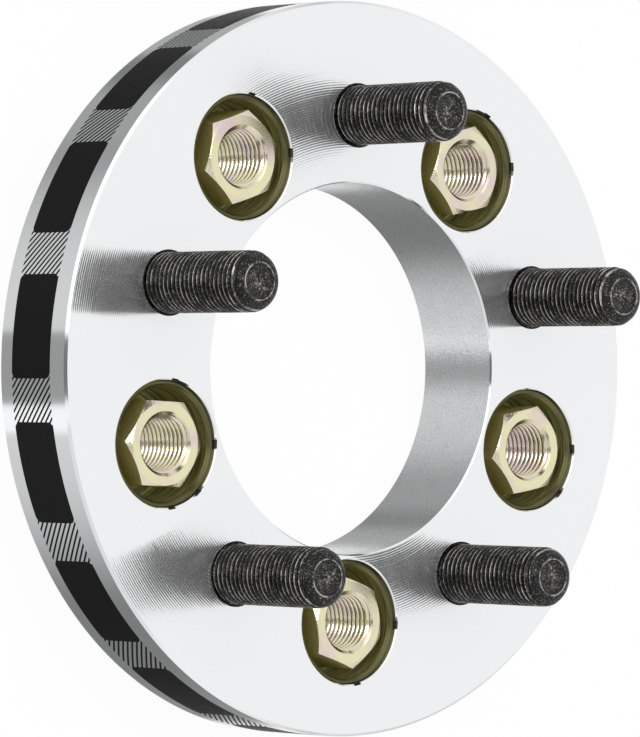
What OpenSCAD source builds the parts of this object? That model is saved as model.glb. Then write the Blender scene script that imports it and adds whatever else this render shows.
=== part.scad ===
// Bolt-on wheel spacer: a turned aluminium ring with five pressed wheel studs,
// and five lug nuts that sit in steel-lined pockets and hold the ring to the hub.
// The back face lies on z = 0 and the studs stand up along +Z. Millimetres.

/* [Disc] */
// Thickness of the ring, back face to front face
disc_t = 20; // [16:0.5:30]
// Metal between the nut pockets and the rim, which makes the ring 145 across
rim_wall = 10.2; // [7:0.1:25]
// Metal between the nut pockets and the centre bore, which makes the bore 73.3
bore_land = 1.05; // [0.9:0.05:10]
// Bevel on the outer edge of the front face
rim_bevel = 0.5; // [0.2:0.1:1.5]
// Bevel on both edges of the centre bore
bore_bevel = 0.3; // [0.1:0.1:0.5]
// Small break on the outer edge of the back face
back_break = 0.2; // [0.1:0.1:1]

/* [Bolt circle] */
// Bolt circle of the hub and of the wheel
bolt_circle_d = 100; // [100:0.1:108]
// Studs in the circle, and as many nut pockets between them
bolt_count = 5; // [4:1:5]

/* [Nut pocket] */
// Bevel on the mouth of the pocket
pocket_bevel = 0.25; // [0.1:0.05:0.5]
// Aluminium left under the pocket
web_t = 4; // [2:0.25:5]
// Thread diameter of the hub's studs
hub_stud_d = 12; // [12:0.5:14]
// Room round the hub's stud in its hole
hub_stud_room = 0.6; // [0.4:0.1:1]
// Bevel on the hub stud's hole at the back face
hub_hole_bevel = 0.6; // [0.2:0.1:1]
// Width of the notches that lock the sleeve in the pocket's mouth
notch_w = 1.7; // [1:0.1:2.5]
// How far the notches reach out past the pocket's wall
notch_reach = 0.4; // [0.25:0.05:0.8]

/* [Seat sleeve] */
// Wall of the pressed steel sleeve
sleeve_wall = 1.2; // [0.9:0.05:1.5]
// Room for a socket between the nut's corners and the sleeve
socket_room = 1.67; // [1:0.005:3]
// Depth of the sleeve's rim below the front face
sleeve_recess = 0.75; // [0.4:0.05:1.5]
// Lead-in bevel on the inner edge of the rim
sleeve_lead = 0.55; // [0.2:0.05:0.6]
// Bevel on the outer edge of the rim
sleeve_outer_bevel = 0.3; // [0.1:0.05:0.3]
// Foot of the locking lugs, below the rim
lug_h = 1.2; // [0.9:0.1:2]
// Step from the rim's outer bevel down to the top of a lug
lug_drop = 0.1; // [0.05:0.05:0.2]

/* [Lug nut] */
// Nut size across flats
nut_af = 16.3; // [16.2:0.1:19]
// Room under the nut's foot, down to the bottom of the pocket
foot_room = 0.3; // [0.2:0.05:1]
// Depth of the nut's top below the front face
nut_recess = 0.2; // [0.1:0.1:1]
// Height of the nut's thread, from the hub stud's diameter in to the crests
nut_thread_h = 0.675; // [0.5:0.025:0.9]
// How far the nut's countersink reaches out past the hub stud's diameter
nut_mouth_reach = 0.3; // [0.1:0.1:0.5]
// How far the small end of the tapered seat reaches in past the hub stud's hole
seat_lap = 0.2; // [0.1:0.05:0.25]
// Included angle of the tapered seat
seat_angle = 60; // [58:1:62]

/* [Wheel stud] */
// Thread diameter of the stud over its crests
thread_d = 11.8; // [11:0.1:12.2]
// Stud length above the front face
stud_out = 27; // [20:0.5:40]
// Rise of the pressed serrations over the thread
serration_rise = 0.47; // [0.4:0.01:0.8]
// Depth of the serration grooves
serration_depth = 0.3; // [0.1:0.05:0.4]
// Depth of the serrated shank's end below the front face
serration_recess = 0.05; // [0.05:0.05:2]
// Diameter of the stud's head
head_d = 18; // [16:0.5:19]
// Thickness of the stud's head
head_t = 3.6; // [2.5:0.1:4.5]
// Depth of the head below the back face
head_recess = 0.5; // [0.2:0.1:1.5]
// Diameter of the flat end of the nose
nose_end_d = 7; // [5:0.1:8]
// Length of the rounded nose
nose_len = 2.6; // [1:0.1:4]
// Depth of the hollow in the nose's end
nose_dish = 0.4; // [0.1:0.1:0.8]

/* [Rim print] */
// Width of the printed band along the rim
band_w = 11.6; // [8:0.1:13]
// Height of the band's lower edge above the back face
band_z = 3.6; // [1:0.1:5]
// Length of one printed field around the rim, in degrees
field_arc = 15.9; // [10:0.1:18]
// Printed fields around the rim
field_count = 16; // [5:1:16]
// Corner radius of a printed field
field_corner = 1.4; // [0.5:0.1:3]
// Thickness of the printed film
film_t = 0.1; // [0.05:0.01:0.2]

/* [Hidden] */
$fn = 96;
overrun = 1;                 // how far cutters run past what they cut
slip = 0.02;                 // gap left round a pressed or seated piece
stud_start = 90;             // direction of the first stud
serrations = 36;             // grooves around a stud's shank
field_start = 174.8;         // direction of the first printed field's middle
nut_turns = [19, 58, 41, 11, 13];        // how each nut came to rest, in degrees
// Directions of the notches at the mouth of each pocket, in degrees
notch_places = [[6.5, 81], [0.5, 80.5, -48.5, -82], [-3, -79], [1.5, -45], [6, 65]];

bolt_r = bolt_circle_d / 2;
bolt_step = 360 / bolt_count;
field_step = 360 / field_count;
pocket_start = stud_start + bolt_step / 2;
hub_hole_r = hub_stud_d / 2 + hub_stud_room;

nut_corner_r = nut_af / 2 / cos(30);
sleeve_in_r = nut_corner_r + socket_room;
sleeve_r = sleeve_in_r + sleeve_wall;
sleeve_top = disc_t - sleeve_recess;
pocket_r = sleeve_r + slip;
disc_r = bolt_r + pocket_r + rim_wall;
bore_r = bolt_r - pocket_r - bore_land;

nut_top = disc_t - nut_recess;
nut_foot = web_t + foot_room;
nut_h = nut_top - nut_foot;
nut_bore_r = hub_stud_d / 2 - nut_thread_h;
nut_mouth_r = hub_stud_d / 2 + nut_mouth_reach;
face_share = 0.988;          // flat round face of the nut, as a share of the flats
nut_face_r = nut_af / 2 * face_share;
seat_small_r = hub_hole_r - seat_lap;
seat_slope = tan(seat_angle / 2);
seat_h = (nut_af / 2 - seat_small_r) / seat_slope;
corner_slope = tan(30);      // bevel that takes the hexagon's corners off
floor_share = 0.95;          // height of the sleeve's floor up the tapered seat
floor_top = nut_foot + seat_h * floor_share;
seat_slip = slip / cos(seat_angle / 2);

thread_r = thread_d / 2;
stud_tip = disc_t + stud_out;
serration_r = thread_r + serration_rise;
stud_hole_r = serration_r + slip;
head_r = head_d / 2;
head_gap_share = 0.03;       // room round the head in its counterbore, as a share of its diameter
head_hole_r = head_r + head_d * head_gap_share;
head_seat = head_recess + head_t;
head_bevel_share = 0.15;     // bevel on the head's edge, as a share of its thickness
head_bevel = head_t * head_bevel_share;
nose_end_r = nose_end_d / 2;
arc_steps = 8;
corner_steps = 4;

function stud_dir(i) = stud_start + i * bolt_step;
function pocket_dir(i) = pocket_start + i * bolt_step;

// Moves its children out to the bolt circle without turning them.
module on_bolt_circle(direction) {
    translate([bolt_r * cos(direction), bolt_r * sin(direction), 0]) children();
}

// A straight block that runs outwards from a pocket's axis in one direction.
module radial_key(direction, width, inner, outer, low, high) {
    rotate([0, 0, direction])
        translate([inner, -width / 2, low]) cube([outer - inner, width, high - low]);
}

// Section of the bare ring, revolved about the axis.
module ring_blank() {
    rotate_extrude() polygon([
        [bore_r + bore_bevel, 0],
        [disc_r - back_break, 0],
        [disc_r, back_break],
        [disc_r, disc_t - rim_bevel],
        [disc_r - rim_bevel, disc_t],
        [bore_r + bore_bevel, disc_t],
        [bore_r, disc_t - bore_bevel],
        [bore_r, bore_bevel]
    ]);
}

// Everything that is bored for one nut: pocket, its bevelled mouth, the hub
// stud's hole and the notches for the sleeve's lugs.
module pocket_cut(notches) {
    translate([0, 0, web_t]) cylinder(h = disc_t, r = pocket_r);
    translate([0, 0, disc_t - pocket_bevel])
        cylinder(h = pocket_bevel + overrun, r1 = pocket_r, r2 = pocket_r + pocket_bevel + overrun);
    translate([0, 0, -overrun]) cylinder(h = disc_t, r = hub_hole_r);
    translate([0, 0, -overrun])
        cylinder(h = hub_hole_bevel + overrun, r1 = hub_hole_r + hub_hole_bevel + overrun, r2 = hub_hole_r);
    for (direction = notches)
        radial_key(direction, notch_w, pocket_r / 2, pocket_r + notch_reach,
            sleeve_top - lug_h - slip, disc_t + overrun);
}

// Hole for one stud's shank, with a counterbore for its head at the back.
module stud_cut() {
    translate([0, 0, -overrun]) cylinder(h = disc_t + overrun * 2, r = stud_hole_r);
    translate([0, 0, -overrun]) cylinder(h = head_seat + overrun, r = head_hole_r);
}

module spacer_disc() {
    color([0.88, 0.89, 0.90]) difference() {
        ring_blank();
        for (i = [0 : bolt_count - 1]) {
            on_bolt_circle(pocket_dir(i)) pocket_cut(notch_places[i]);
            on_bolt_circle(stud_dir(i)) stud_cut();
        }
    }
}

// Half section of the stud: head, shank, threaded length, rounded nose and the
// shallow hollow in its end.
function stud_section() = concat(
    [[0, head_recess],
     [head_r - head_bevel, head_recess],
     [head_r, head_recess + head_bevel],
     [head_r, head_seat],
     [thread_r, head_seat],
     [thread_r, stud_tip - nose_len]],
    [for (i = [1 : arc_steps]) let (a = 90 * i / arc_steps)
        [nose_end_r + (thread_r - nose_end_r) * cos(a), stud_tip - nose_len * (1 - sin(a))]],
    [for (i = [1 : arc_steps]) let (a = 90 * i / arc_steps)
        [nose_end_r * cos(a), stud_tip - nose_dish * sin(a)]]
);

// Straight-sided serrations that bite in the disc when the stud is pressed home.
module serrated_shank() {
    translate([0, 0, head_seat])
        linear_extrude(height = disc_t - serration_recess - head_seat)
            polygon([for (i = [0 : serrations * 2 - 1])
                let (r = i % 2 == 0 ? serration_r : serration_r - serration_depth,
                     a = 180 * i / serrations)
                [r * cos(a), r * sin(a)]]);
}

module stud(i) {
    color([0.13, 0.13, 0.14]) on_bolt_circle(stud_dir(i)) {
        rotate_extrude() polygon(stud_section());
        serrated_shank();
    }
}

// Steel sleeve pressed in the pocket. Its floor carries the tapered seat that
// the nut pulls down on, and its lugs stop it turning.
module seat_sleeve(i) {
    color([0.36, 0.34, 0.17]) on_bolt_circle(pocket_dir(i)) {
        rotate_extrude() polygon([
            [hub_hole_r, web_t],
            [sleeve_r, web_t],
            [sleeve_r, sleeve_top - sleeve_outer_bevel],
            [sleeve_r - sleeve_outer_bevel, sleeve_top],
            [sleeve_in_r + sleeve_lead, sleeve_top],
            [sleeve_in_r, sleeve_top - sleeve_lead],
            [sleeve_in_r, floor_top],
            [seat_radius(floor_top), floor_top],
            [hub_hole_r, seat_height(hub_hole_r)]
        ]);
        for (direction = notch_places[i])
            radial_key(direction, notch_w - slip * 2, sleeve_r - sleeve_wall / 2,
                pocket_r + notch_reach - slip, sleeve_top - lug_h,
                sleeve_top - sleeve_outer_bevel - lug_drop);
    }
}

// Radius of the sleeve's seat at a height, and the height at a radius.
function seat_radius(z) = seat_small_r + (z - nut_foot) * seat_slope + seat_slip;
function seat_height(r) = nut_foot + (r - seat_small_r - seat_slip) / seat_slope;

// Envelope that turns a hexagon into a nut: tapered foot, bevelled corners and
// a flat round face.
module nut_envelope() {
    reach = nut_corner_r + overrun;
    rotate_extrude() polygon([
        [0, nut_foot],
        [seat_small_r, nut_foot],
        [nut_af / 2, nut_foot + seat_h],
        [reach, nut_foot + seat_h + (reach - nut_af / 2) * corner_slope],
        [reach, nut_top - (reach - nut_face_r) * corner_slope],
        [nut_face_r, nut_top],
        [0, nut_top]
    ]);
}

module nut_thread_hole() {
    mouth = nut_mouth_r - nut_bore_r;
    foot_mouth = mouth / 2;
    translate([0, 0, nut_foot - overrun]) cylinder(h = nut_h + overrun * 2, r = nut_bore_r);
    translate([0, 0, nut_top - mouth])
        cylinder(h = mouth + overrun, r1 = nut_bore_r, r2 = nut_mouth_r + overrun);
    translate([0, 0, nut_foot - overrun])
        cylinder(h = foot_mouth + overrun, r1 = nut_bore_r + foot_mouth + overrun, r2 = nut_bore_r);
}

module lug_nut(i) {
    color([0.84, 0.80, 0.58]) on_bolt_circle(pocket_dir(i)) difference() {
        intersection() {
            rotate([0, 0, nut_turns[i]]) translate([0, 0, nut_foot])
                cylinder(h = nut_h, r = nut_corner_r, $fn = 6);
            nut_envelope();
        }
        nut_thread_hole();
    }
}

// Flat rounded rectangle of one printed field, seen square on. Each corner is a
// quarter turn of points about its own centre.
module field_outline(length) {
    corner_x = length / 2 - field_corner;
    corner_y = band_w / 2 - field_corner;
    polygon([for (side = [0 : 3], k = [0 : corner_steps])
        let (a = side * 90 + k * 90 / corner_steps,
             x = side == 0 || side == 3 ? corner_x : -corner_x,
             y = side < 2 ? corner_y : -corner_y)
        [x + field_corner * cos(a), y + field_corner * sin(a)]]);
}

// One printed field: the rounded outline pushed through a thin shell on the rim.
module printed_field() {
    length = disc_r * sin(field_arc / 2) * 2;
    spare_arc = 1;
    intersection() {
        rotate([0, 0, -field_arc / 2 - spare_arc])
            rotate_extrude(angle = field_arc + spare_arc * 2)
                translate([disc_r, band_z]) square([film_t, band_w]);
        translate([disc_r / 2, 0, band_z + band_w / 2])
            rotate([90, 0, 90]) linear_extrude(height = disc_r) field_outline(length);
    }
}

module rim_print() {
    color([0.10, 0.10, 0.11])
        for (i = [0 : field_count - 1])
            rotate([0, 0, field_start + i * field_step]) printed_field();
}

spacer_disc();
rim_print();
stud(0);  // stud_1
stud(1);  // stud_2
stud(2);  // stud_3
stud(3);  // stud_4
stud(4);  // stud_5
seat_sleeve(0);  // seat_sleeve_1
seat_sleeve(1);  // seat_sleeve_2
seat_sleeve(2);  // seat_sleeve_3
seat_sleeve(3);  // seat_sleeve_4
seat_sleeve(4);  // seat_sleeve_5
lug_nut(0);  // lug_nut_1
lug_nut(1);  // lug_nut_2
lug_nut(2);  // lug_nut_3
lug_nut(3);  // lug_nut_4
lug_nut(4);  // lug_nut_5
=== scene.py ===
"""Looks of a bolt-on wheel spacer: a turned aluminium ring with pressed studs and lug nuts.

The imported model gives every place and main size. This file builds the finely cut
pieces on them, such as the threads, and gives each surface its finish.
"""

import math

import bmesh
import bpy
from bpy.props import FloatProperty, FloatVectorProperty, IntProperty, PointerProperty
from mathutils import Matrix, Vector


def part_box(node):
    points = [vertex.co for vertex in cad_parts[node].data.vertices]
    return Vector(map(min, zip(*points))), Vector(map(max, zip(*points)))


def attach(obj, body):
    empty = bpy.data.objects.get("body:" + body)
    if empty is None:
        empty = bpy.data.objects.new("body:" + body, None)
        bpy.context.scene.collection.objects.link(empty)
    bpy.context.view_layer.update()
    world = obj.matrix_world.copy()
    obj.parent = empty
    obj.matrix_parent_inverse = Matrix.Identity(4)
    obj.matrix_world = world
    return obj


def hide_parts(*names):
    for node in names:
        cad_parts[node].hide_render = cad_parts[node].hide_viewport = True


bl_info = {
    "name": "Wheel Spacer Looks",
    "version": (1, 0, 0),
    "blender": (4, 5, 0),
    "location": "View3D > Sidebar > Spacer",
    "description": "Threads, rim print and metal finishes of a bolt-on wheel spacer",
    "category": "Add Mesh",
}

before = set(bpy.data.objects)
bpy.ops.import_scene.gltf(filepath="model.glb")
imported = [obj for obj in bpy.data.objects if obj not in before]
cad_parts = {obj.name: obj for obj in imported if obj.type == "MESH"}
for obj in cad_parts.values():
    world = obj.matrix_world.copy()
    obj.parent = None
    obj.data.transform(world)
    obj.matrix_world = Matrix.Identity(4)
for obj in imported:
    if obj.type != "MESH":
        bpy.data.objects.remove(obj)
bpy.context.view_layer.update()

MM = 0.001
WORN = "worn"
STUD_NODES = sorted(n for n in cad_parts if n.startswith("stud_"))
NUT_NODES = sorted(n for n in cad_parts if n.startswith("lug_nut_"))
SLEEVE_NODES = sorted(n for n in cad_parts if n.startswith("seat_sleeve_"))
DISC_LOW, DISC_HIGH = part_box("spacer_disc")
STUD_LOW, STUD_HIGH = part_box(STUD_NODES[0])
NUT_LOW, NUT_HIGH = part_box(NUT_NODES[0])
SLEEVE_LOW, SLEEVE_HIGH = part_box(SLEEVE_NODES[0])
PRINT_LOW, PRINT_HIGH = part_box("rim_print")


def linear(code):
    """Linear colour with alpha from an sRGB hex code such as "c8c9cb"."""
    shares = [int(code[i:i + 2], 16) / 255 for i in (0, 2, 4)]
    return tuple(s / 12.92 if s <= 0.04045 else ((s + 0.055) / 1.055) ** 2.4 for s in shares) + (1.0,)


def axis_of(node):
    """Point on the back face under the middle of a CAD node."""
    low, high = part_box(node)
    return Vector(((low.x + high.x) / 2, (low.y + high.y) / 2, 0))


def length(name, description, millimetres):
    """Property for a length, in metres, from its size in millimetres."""
    return FloatProperty(name=name, description=description, default=millimetres * MM,
                         precision=5, unit="LENGTH")


def angle(name, description, degrees):
    """Property for an angle, from its size in degrees."""
    return FloatProperty(name=name, description=description, default=math.radians(degrees),
                         unit="ROTATION")


def share(name, description, value):
    """Property for a number from 0 to 1."""
    return FloatProperty(name=name, description=description, default=value,
                         min=0.0, max=1.0, subtype="FACTOR")


def colour(name, description, code):
    """Property for a colour, from its sRGB hex code."""
    return FloatVectorProperty(name=name, description=description, default=linear(code),
                               size=4, min=0.0, max=1.0, subtype="COLOR")


class RingSizes(bpy.types.PropertyGroup):
    """Sizes and colours of the turned ring."""

    bore_radius: length("Bore radius", "Radius of the centre bore", 36.65)
    rim_bevel: length("Rim bevel", "Bevel on the outer edge of the front face", 0.5)
    back_break: length("Back break", "Break on the outer edge of the back face", 0.2)
    bore_bevel: length("Bore bevel", "Bevel on both edges of the bore", 0.3)
    pocket_radius: length("Pocket radius", "Radius of each nut pocket", 12.3)
    pocket_bevel: length("Pocket bevel", "Bevel on the mouth of each nut pocket", 0.25)
    web: length("Web", "Metal under each nut pocket", 4.0)
    hub_hole_radius: length("Hub hole radius", "Radius of the hole for the hub's stud", 6.6)
    hub_hole_bevel: length("Hub hole bevel", "Bevel on that hole at the back face", 0.6)
    notch_width: length("Notch width", "Width of the notches in each pocket's mouth", 1.7)
    notch_reach: length("Notch reach", "Reach of the notches past the pocket's wall", 0.4)
    notch_depth: length("Notch depth", "Depth of the notches below the front face", 1.97)
    stud_hole_radius: length("Stud hole radius", "Radius of each stud's hole", 6.39)
    head_hole_radius: length("Head hole radius", "Radius of each stud head's counterbore", 9.54)
    head_hole_depth: length("Head hole depth", "Depth of that counterbore", 4.1)
    metal: colour("Aluminium", "Bare aluminium", "f1f2f3")
    pit: colour("Pitted aluminium", "Greyer pits of the blasted bore", "d4d5d6")


class PrintSizes(bpy.types.PropertyGroup):
    """Sizes and colour of the print on the rim."""

    start: angle("Start", "Direction of the first field's middle", 174.8)
    field_arc: angle("Field", "Length of one field around the rim", 15.9)
    field_count: IntProperty(name="Fields", description="Number of printed fields", default=16)
    corner: length("Corner", "Corner radius of a field", 1.4)
    film: length("Film", "Thickness of the ink that shows", 0.04)
    line_width: length("Line width", "Width of a hatch line, measured along the axis", 0.56)
    line_pitch: length("Line pitch", "Step between hatch lines, measured around the rim", 1.544)
    line_start: length("Line start", "Distance from a field's end to the first line's foot", 0.2)
    line_slope: FloatProperty(name="Line slope", default=-0.91,
                              description="Rise of a hatch line for each length around the rim")
    ink: colour("Ink", "Black ink", "0c0c0e")


class StudSizes(bpy.types.PropertyGroup):
    """Sizes and colours of the wheel studs."""

    pitch: length("Pitch", "Pitch of the thread", 1.25)
    crest_radius: length("Crest radius", "Radius of the thread over its crests", 5.9)
    root_radius: length("Root radius", "Radius of the thread at its roots", 5.14)
    serration_radius: length("Serration radius", "Radius over the pressed serrations", 6.37)
    serration_depth: length("Serration depth", "Depth of the serration grooves", 0.3)
    shank_drop: length("Shank drop", "Depth of the serrated shank's end below the face", 0.05)
    head_radius: length("Head radius", "Radius of the head at the back", 9.0)
    head_height: length("Head height", "Thickness of the head", 3.6)
    head_bevel: length("Head bevel", "Bevel on the head's edge", 0.54)
    nose_length: length("Nose length", "Length of the rounded nose", 2.6)
    nose_radius: length("Nose radius", "Radius of the flat end of the nose", 3.5)
    dish_depth: length("Dish depth", "Depth of the hollow in the end", 0.4)
    oxide: colour("Oxide", "Black oxide in the thread's roots", "0c0c0d")
    worn: colour("Worn steel", "Steel that shows on the worn crests", "d9d6cf")


class SleeveSizes(bpy.types.PropertyGroup):
    """Sizes and colours of the steel sleeves in the pockets."""

    wall: length("Wall", "Wall of the sleeve", 1.2)
    lead: length("Lead", "Bevel on the inner edge of the rim", 0.55)
    outer_bevel: length("Outer bevel", "Bevel on the outer edge of the rim", 0.3)
    floor: length("Floor", "Height of the floor above the back face", 7.18)
    seat_radius: length("Seat radius", "Radius of the tapered seat at the floor", 8.09)
    seat_foot: length("Seat foot", "Height of the seat's small end", 4.65)
    # The chromate and its streaks are drawn paler than the real olive, as painted light for the dim walls of
    # the pocket.
    chromate: colour("Chromate", "Olive chromate on steel", "d1d296")
    shade: colour("Shade", "Darker chromate in the streaks", "716b49")
    # The rim is drawn darker than the walls as painted shade, so that the rim, which faces the light, looks
    # as dim as the walls.
    rim: colour("Rim", "Olive chromate on the turned rim", "515036")
    # The lugs' near-black colour is painted shade for the notches they sit in.
    lug_painted_shade: colour("Lug", "Dark steel of the lugs in the notches", "26251c")


class NutSizes(bpy.types.PropertyGroup):
    """Sizes and colours of the lug nuts."""

    flats: length("Across flats", "Size of the hexagon", 16.3)
    face_radius: length("Face radius", "Radius of the round face on top", 8.05)
    seat_small_radius: length("Seat radius", "Small end of the tapered seat", 6.4)
    mouth_radius: length("Mouth radius", "Mouth of the thread's countersinks", 6.3)
    pitch: length("Pitch", "Pitch of the thread", 1.25)
    crest_radius: length("Crest radius", "Radius of the thread over its crests", 5.38)
    root_radius: length("Root radius", "Radius of the thread at its roots", 5.92)
    zinc: colour("Zinc", "Yellow passivated zinc", "e7e3bc")
    # The flats' deeper, brighter yellow is partly painted light and a painted reflection of the olive sleeve
    # in the gap beside the nut.
    flank: colour("Flank", "Deeper yellow on the forged flats", "dcc64a")
    tint: colour("Tint", "Pink tint in the zinc", "e0cfca")


class StageSizes(bpy.types.PropertyGroup):
    """Camera, floor and lamp of the stage."""

    camera_place: FloatVectorProperty(name="Camera", description="Place of the camera",
                                      default=(-0.731903, -0.015387, 0.854608), subtype="XYZ",
                                      unit="LENGTH", precision=5)
    camera_turn: FloatVectorProperty(name="Turn", description="Turn of the camera about X, Y and Z",
                                     default=tuple(math.radians(a) for a in (-0.0543, -40.909, 1.2885)),
                                     subtype="EULER")
    focal_length: FloatProperty(name="Focal length", description="Millimetres on a 36 mm sensor",
                                default=274.909)
    floor_width: FloatProperty(name="Floor width", description="Width of the floor", default=6.0,
                               unit="LENGTH")
    floor_drop: length("Floor drop", "Gap between the back face and the floor", 0.1)
    floor_glow: share("Floor glow", "How far the floor is lifted to white for the camera", 0.94)
    lamp_place: FloatVectorProperty(name="Lamp", description="Place of the lamp overhead",
                                    default=(0.2, 0.3, 1.6), subtype="XYZ", unit="LENGTH")
    lamp_width: FloatProperty(name="Lamp width", description="Width of the square lamp", default=1.2,
                              unit="LENGTH")
    lamp_power: FloatProperty(name="Lamp power", description="Power of the lamp in watts", default=14.0)


# Steps in one full turn.
RING_STEPS = 360
POCKET_STEPS = 180
THREAD_STEPS = 96
# Steps along a printed field, round its corner, and along a hatch line, a smooth tip and a dish.
FIELD_STEPS = 24
CORNER_STEPS = 8
LINE_STEPS = 12
NOSE_STEPS = 6
DISH_STEPS = 12

# How far a cutting tool runs past the metal, and how near points are that become one.
OVERRUN = 1 * MM
WELD = 1e-7
# Faces that meet at less than this angle, in degrees, are shaded as one surface.
SMOOTH_UNDER = 30.0
# The gap round a pressed piece, and the lugs' tops and feet below their sleeve's top.
PRESS_GAP = 0.02 * MM
LUG_TOP = 0.4 * MM
LUG_FOOT = 1.2 * MM
# Grooves in a stud's shank, and the length of its tip that has no thread.
SERRATIONS = 36
SMOOTH_TIP = 0.75 * MM
# Flats on the studs' crests and in the nuts' roots, as shares of the pitch.
STUD_CREST_FLAT = 0.1
NUT_ROOT_FLAT = 0.125
# How far a stud is rubbed, from 0 to 1, on its flat end and on its crests, and how deep both reach.
END_WEAR = 0.9
END_DEPTH = 0.02 * MM
CREST_WEAR = 0.8
CREST_DEPTH = 0.03 * MM
# Length over which the lands of the nose turn bare.
LAND_RISE = 0.3 * MM
# Share of a face's direction along Z: above it a face is flat, looks up, or isn't upright any more.
FLAT = 0.99
LOOKS_UP = 0.5
UPRIGHT = 0.1
# The camera's sensor in millimetres, and how far it sees in metres.
SENSOR_WIDTH = 36.0
VIEW_END = 20.0

# Directions in degrees from +X: the notches round each pocket, and the turn of each nut.
NOTCH_DIRECTIONS = {
    "seat_sleeve_1": (6.5, 81), "seat_sleeve_2": (0.5, 80.5, -48.5, -82),
    "seat_sleeve_3": (-3, -79), "seat_sleeve_4": (1.5, -45), "seat_sleeve_5": (6, 65),
}
NUT_TURNS = {"lug_nut_1": 19, "lug_nut_2": 58, "lug_nut_3": 41, "lug_nut_4": 11, "lug_nut_5": 13}

# What the metal sees of the studio. Each panel has its brightness and its soft edges: an axis of the
# direction looked in, where the panel starts and where it is full. Later panels cover earlier ones.
# The table lies under them all. FILL_LEVEL is what dull surfaces get from all round.
FILL_LEVEL = 0.6
TABLE_LEVEL = 0.22
PANELS = (
    ("table on the left", 0.7, (("X", -0.05, -0.6),)),
    ("table on the right", 0.28, (("X", 0.2, 0.5),)),
    ("wall on the right", 0.7, (("X", 0.53, 0.62),)),
    ("white things far right on the table", 0.43, (("Z", 0.1, -0.2), ("X", 0.27, 0.34), ("Y", -0.1, 0.1))),
    ("window light far right", 0.92, (("Z", 0.1, -0.2), ("X", 0.53, 0.59), ("Y", -0.33, -0.2))),
    ("table at the back", 0.38, (("Y", 0.3, 0.6), ("X", -0.3, -0.1), ("X", 0.2, 0.05))),
    ("ceiling", 0.97, (("Z", -0.2, 0.25),)),
    ("softbox in front", 0.8, (("Z", -0.2, 0.25), ("X", -0.05, -0.3))),
    ("softbox at the back", 1.4, (("Z", -0.2, 0.25), ("X", -0.05, -0.3), ("Y", 0.1, 0.12))),
    ("lamp in that softbox", 7.0, (("Z", 0.78, 0.88), ("X", -0.05, -0.3), ("Y", 0.05, 0.14),
                                   ("Y", 0.32, 0.2))),
    ("bright strip", 1.05, (("X", -0.1, -0.35), ("Y", -0.235, -0.222), ("Y", -0.13, -0.14))),
    ("slot low on the left", 0.34, (("X", -0.1, -0.35), ("Y", -0.14, -0.13), ("Y", 0.115, 0.105),
                                    ("Z", 0.24, 0.14))),
    ("slot between the softboxes", 0.15, (("X", -0.1, -0.35), ("Y", -0.14, -0.13), ("Y", 0.115, 0.105),
                                          ("Z", 0.52, 0.62))),
)


def turned(outline, steps, closed=False):
    """Vertices and faces of an outline of (radius, height) points turned about Z.

    The outline runs anticlockwise round the metal: up its outer side and down its inner one.
    """
    verts, faces, rows = [], [], []
    for radius, height in outline:
        if radius == 0:
            rows.append([len(verts)] * steps)
            verts.append((0, 0, height))
            continue
        rows.append(list(range(len(verts), len(verts) + steps)))
        for i in range(steps):
            turn = math.tau * i / steps
            verts.append((radius * math.cos(turn), radius * math.sin(turn), height))
    pairs = list(zip(rows, rows[1:]))
    if closed:
        pairs.append((rows[-1], rows[0]))
    for low, high in pairs:
        for i in range(steps):
            j = (i + 1) % steps
            corners = list(dict.fromkeys((low[i], low[j], high[j], high[i])))
            if len(corners) > 2:
                faces.append(corners)
    return verts, faces


def box_shape(low, high, turn, at=(0, 0)):
    """Vertices and faces of a box, turned about Z and moved to a point."""
    verts = []
    for x in (low[0], high[0]):
        for y in (low[1], high[1]):
            for z in (low[2], high[2]):
                verts.append((at[0] + x * math.cos(turn) - y * math.sin(turn),
                              at[1] + x * math.sin(turn) + y * math.cos(turn), z))
    faces = [(0, 1, 3, 2), (4, 6, 7, 5), (0, 4, 5, 1), (2, 3, 7, 6), (0, 2, 6, 4), (1, 5, 7, 3)]
    return verts, faces


def joined(*shapes):
    """Several lists of vertices and faces as one."""
    verts, faces = [], []
    for more_verts, more_faces in shapes:
        start = len(verts)
        verts += more_verts
        faces += [[start + i for i in face] for face in more_faces]
    return verts, faces


def moved(shape, place):
    """A shape moved by a vector."""
    verts, faces = shape
    return [tuple(Vector(v) + place) for v in verts], faces


def profile_radius(phase, corners):
    """Radius at a phase of the pitch, on the straight lines between a thread's corners."""
    for (start, from_radius), (end, to_radius) in zip(corners, corners[1:]):
        if phase <= end:
            return from_radius + (to_radius - from_radius) * (phase - start) / (end - start)
    return corners[-1][1]


def thread_profile(outer, inner, outer_flat, pitch, parts):
    """Corners of a 60 degree thread over one pitch, as (phase, radius), from its outer flat on.

    Each straight line is split in parts, so that what trims the thread does so evenly.
    """
    flank = (outer - inner) * math.tan(math.radians(30)) / pitch
    inner_flat = 1 - outer_flat - 2 * flank
    foot = outer_flat + flank
    corners = [(0, outer), (outer_flat, outer), (foot, inner), (foot + inner_flat, inner), (1, outer)]
    points = []
    for (start, from_radius), (end, to_radius) in zip(corners, corners[1:]):
        for k in range(parts):
            points.append((start + (end - start) * k / parts,
                           from_radius + (to_radius - from_radius) * k / parts))
    return points + [corners[-1]]


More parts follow.
